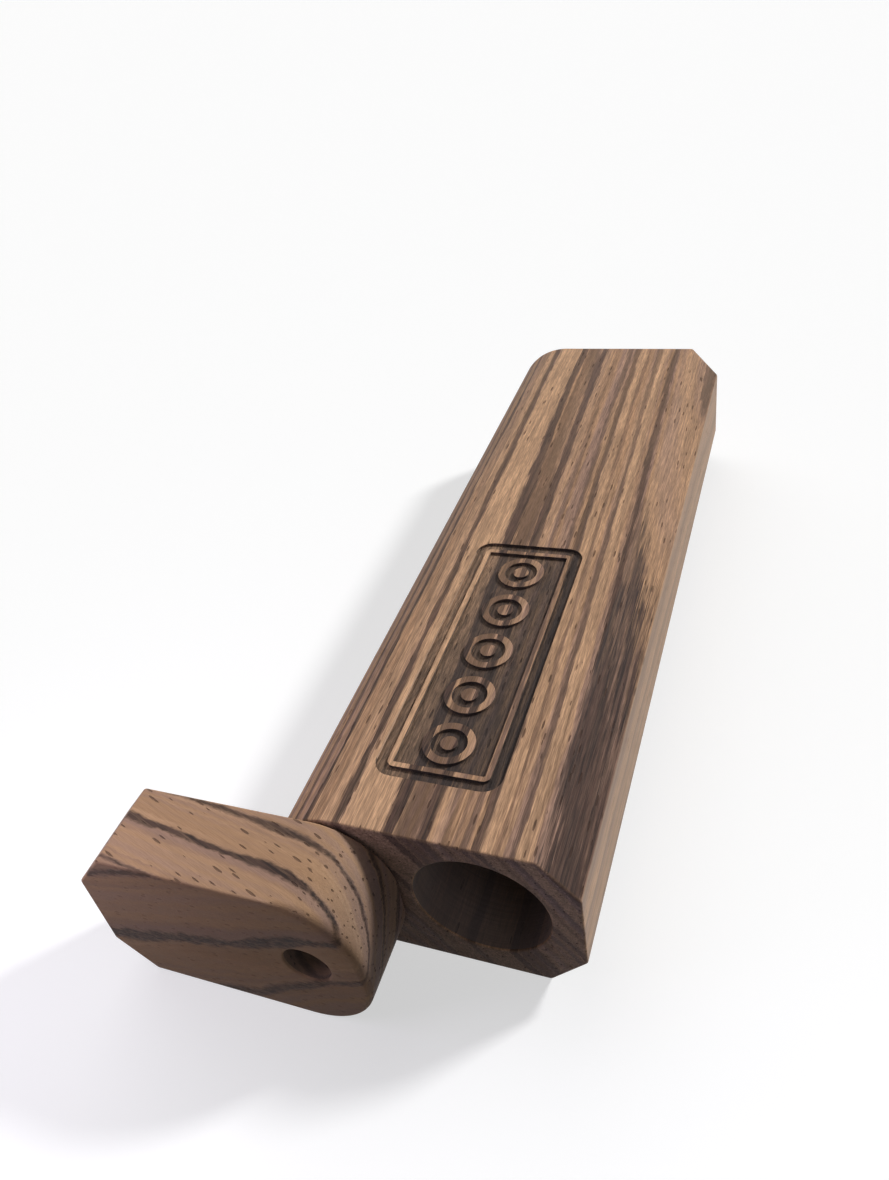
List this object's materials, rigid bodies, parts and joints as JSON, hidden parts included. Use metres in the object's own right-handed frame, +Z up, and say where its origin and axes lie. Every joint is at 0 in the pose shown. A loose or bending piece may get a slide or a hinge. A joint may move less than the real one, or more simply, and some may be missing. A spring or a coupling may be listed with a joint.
{
  "type": "swivel-lid pocket case",
  "caption": "Slim hardwood pocket case: a long block with a blind storage bore, closed by an end lid that swivels on a recessed pivot screw.",
  "frame": {"origin": "centre of the wooden block's base face, which lies on the table", "axes": "+X across the case to its chamfered side, +Y along the case to its closed end, +Z up to the etched broad face"},
  "size_m": [0.0588, 0.1296, 0.023],
  "materials": {
    "wood": "striped hardwood, sanded and oiled to a dull satin, with open pores",
    "steel": "plain zinc-plated steel",
    "nylon": "natural nylon sheet",
    "brass": "turned brass",
    "nickel": "nickel-plated magnet"
  },
  "bodies": {
    "case": {"block": "wood", "threaded_insert": "brass", "pivot_screw": "steel", "slip_washer": "nylon", "block_magnet": "nickel"},
    "swivel_lid": {"lid": "wood", "flat_washer": "steel", "spring_washer": "steel", "lid_magnet": "nickel"}
  },
  "joints": [
    {"name": "lid_swivel", "type": "hinge", "parent": "case", "child": "swivel_lid", "pos_m": [-0.01033, -0.059, 0.0115], "axis": [0, 1, 0], "continuous": true}
  ]
}
